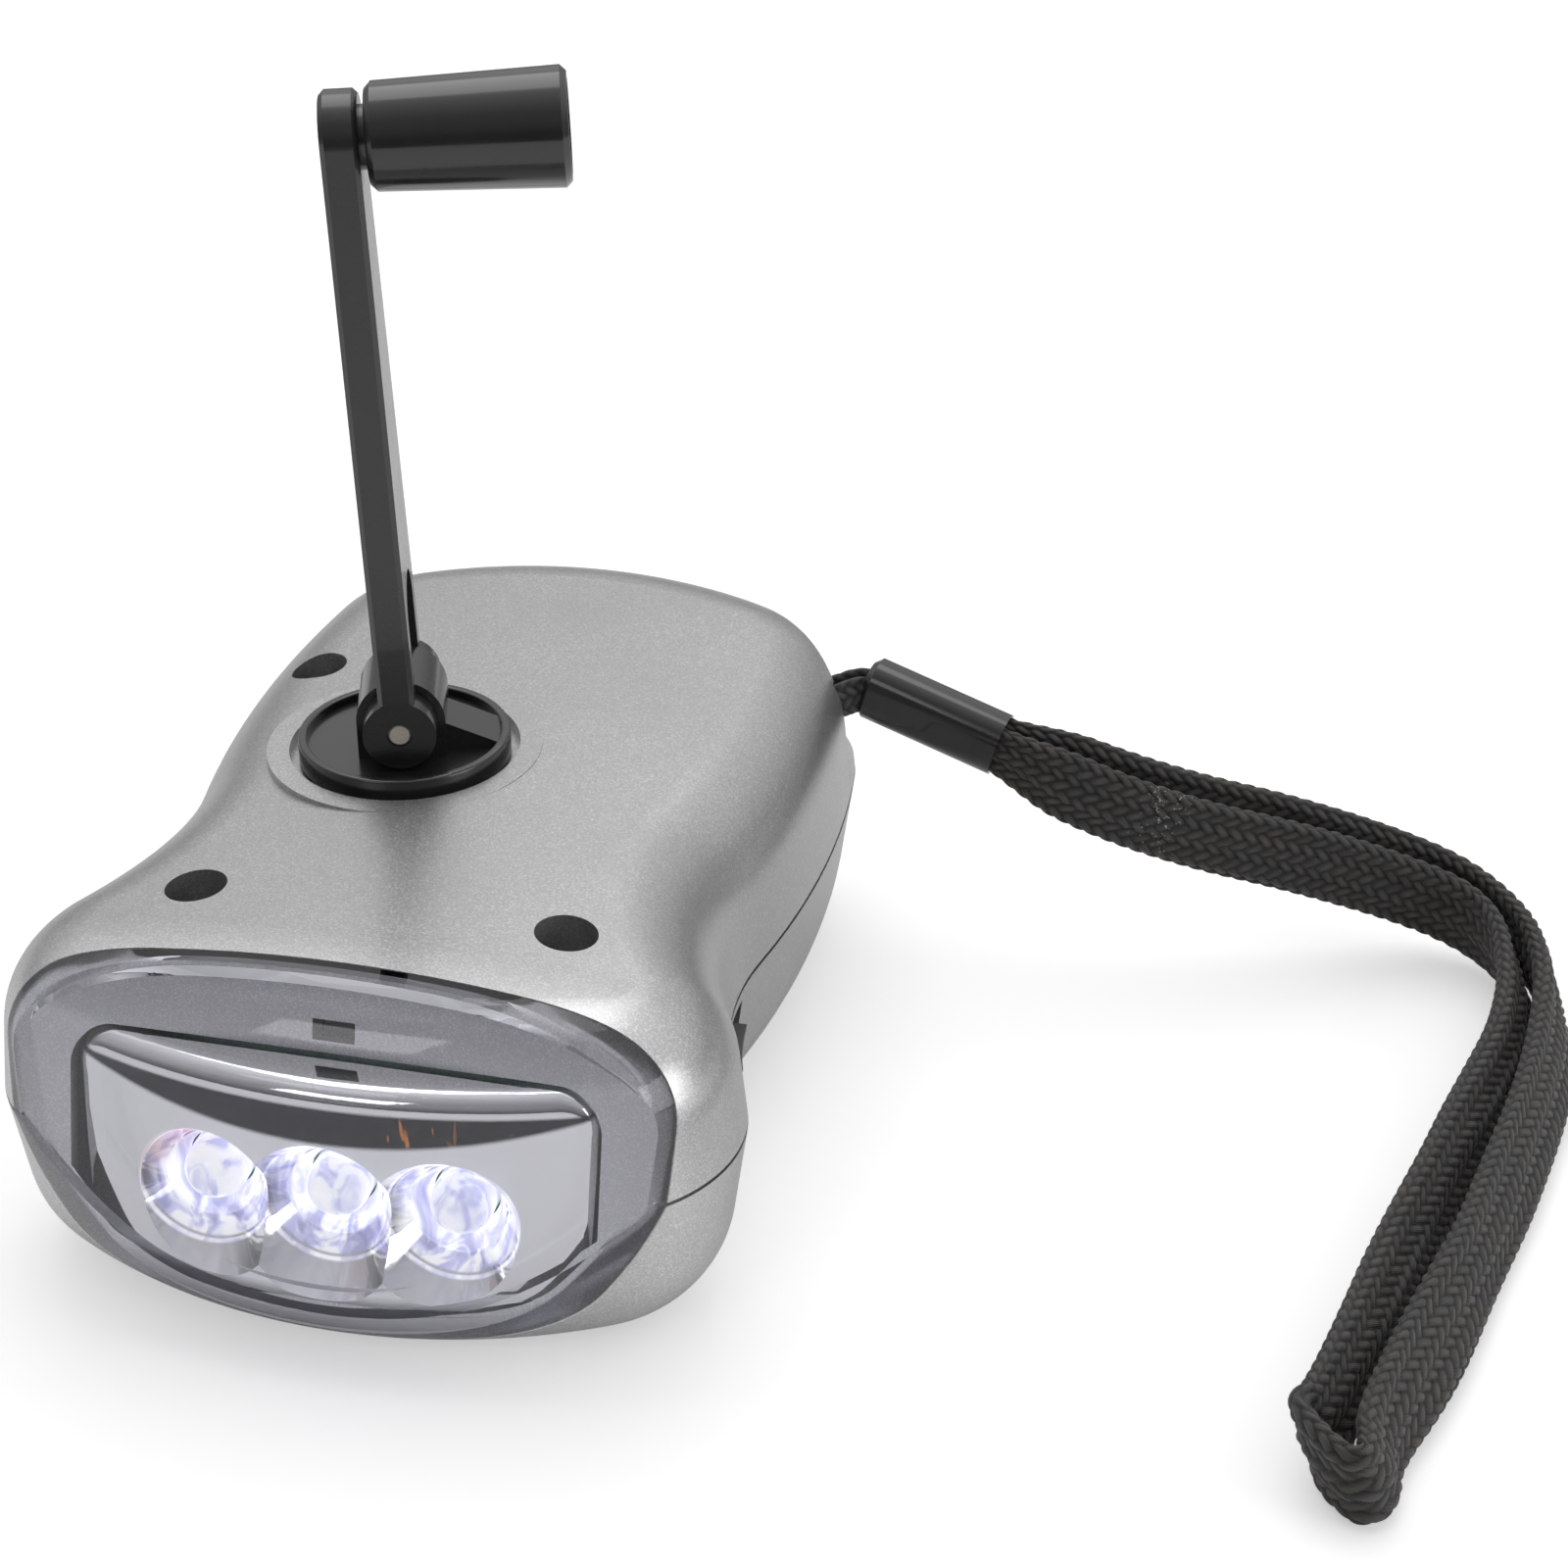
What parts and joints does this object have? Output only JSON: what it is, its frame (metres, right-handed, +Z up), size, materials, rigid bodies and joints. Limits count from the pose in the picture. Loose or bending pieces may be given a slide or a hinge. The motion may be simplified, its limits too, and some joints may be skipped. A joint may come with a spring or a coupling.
{
  "type": "hand crank flashlight",
  "caption": "Hand crank flashlight: waisted silver housing, clear front lens over a bright reflector, folding crank with knob, side slide switch and braided wrist strap.",
  "frame": {"origin": "centre of the flat base, on the surface that the light stands on", "axes": "+X to the right, +Y to the back (the light shines towards -Y), +Z up"},
  "size_m": [0.1248, 0.0889, 0.0898],
  "materials": {
    "shell": "satin metallic silver plastic with a fine sparkle",
    "lens": "clear moulded plastic",
    "reflector": "bright metallised plastic",
    "led": "clear epoxy, lit cool white",
    "board": "green circuit board",
    "component": "black moulded component",
    "cell": "nickel plated button cell",
    "steel_sheet": "pressed steel sheet",
    "steel": "turned steel",
    "nylon": "natural white gear plastic",
    "copper": "enamelled copper wire",
    "magnet": "dark ferrite",
    "crank": "black plastic, satin gloss",
    "knob": "black plastic, high gloss",
    "switch": "black plastic, ribbed",
    "sleeve": "black plastic, glossy",
    "strap": "black braided polyester"
  },
  "bodies": {
    "housing": {"shell_top": "shell", "shell_bottom": "shell", "lens": "lens", "reflector": "reflector", "led_left": "led", "led_middle": "led", "led_right": "led", "led_board": "board", "main_board": "board", "switch_body": "steel_sheet", "bridge_diodes": "component", "capacitor": "component", "battery_cells": "cell", "battery_tabs": "steel_sheet", "gear_plate": "steel_sheet", "plate_screws": "steel", "case_screws": "steel", "idler_axle_1": "steel", "idler_axle_2": "steel", "stator_lower": "steel_sheet", "stator_upper": "steel_sheet", "stator_bobbin": "nylon", "stator_coil": "copper", "strap_tail": "strap", "strap_sleeve": "sleeve", "wrist_strap": "strap"},
    "hub": {"crank_hub": "crank", "drive_gear": "nylon", "hub_screw": "steel", "fold_pin": "steel"},
    "arm": {"crank_arm": "crank", "knob_axle": "steel"},
    "knob": {"crank_knob": "knob"},
    "idler_1": {"idler_gear_1": "nylon"},
    "idler_2": {"idler_gear_2": "nylon"},
    "rotor": {"rotor_shaft": "steel", "rotor_pinion": "nylon", "rotor_magnet": "magnet"},
    "slider": {"switch_slider": "switch"}
  },
  "joints": [
    {"name": "crank_spin", "type": "hinge", "parent": "housing", "child": "hub", "pos_m": [-0.0064, 0.0006, 0.0315], "axis": [0, 0, 1], "continuous": true},
    {"name": "crank_fold", "type": "hinge", "parent": "hub", "child": "arm", "pos_m": [-0.0064, 0.0006, 0.0355], "axis": [-0.2924, 0.9563, 0], "range_deg": [-88, 92]},
    {"name": "knob_spin", "type": "hinge", "parent": "arm", "child": "knob", "pos_m": [-0.00804, 0.0001, 0.08457], "axis": [0.9557, 0.2922, 0.0349], "continuous": true},
    {"name": "idler_1_spin", "type": "hinge", "parent": "housing", "child": "idler_1", "pos_m": [0.01004, 0.00659, 0.0226], "axis": [0, 0, 1], "continuous": true},
    {"name": "idler_2_spin", "type": "hinge", "parent": "housing", "child": "idler_2", "pos_m": [0.01302, 0.01769, 0.0202], "axis": [0, 0, 1], "continuous": true},
    {"name": "rotor_spin", "type": "hinge", "parent": "housing", "child": "rotor", "pos_m": [0.00221, 0.02163, 0.009], "axis": [0, 0, 1], "continuous": true},
    {"name": "switch_slide", "type": "slide", "parent": "housing", "child": "slider", "axis": [0, 1, 0], "range_m": [0, 0.003]}
  ],
  "couplings": [
    {"joint": "idler_1_spin", "follows": "crank_spin", "ratio": -4},
    {"joint": "idler_2_spin", "follows": "crank_spin", "ratio": 14.4},
    {"joint": "rotor_spin", "follows": "crank_spin", "ratio": -51.84}
  ]
}
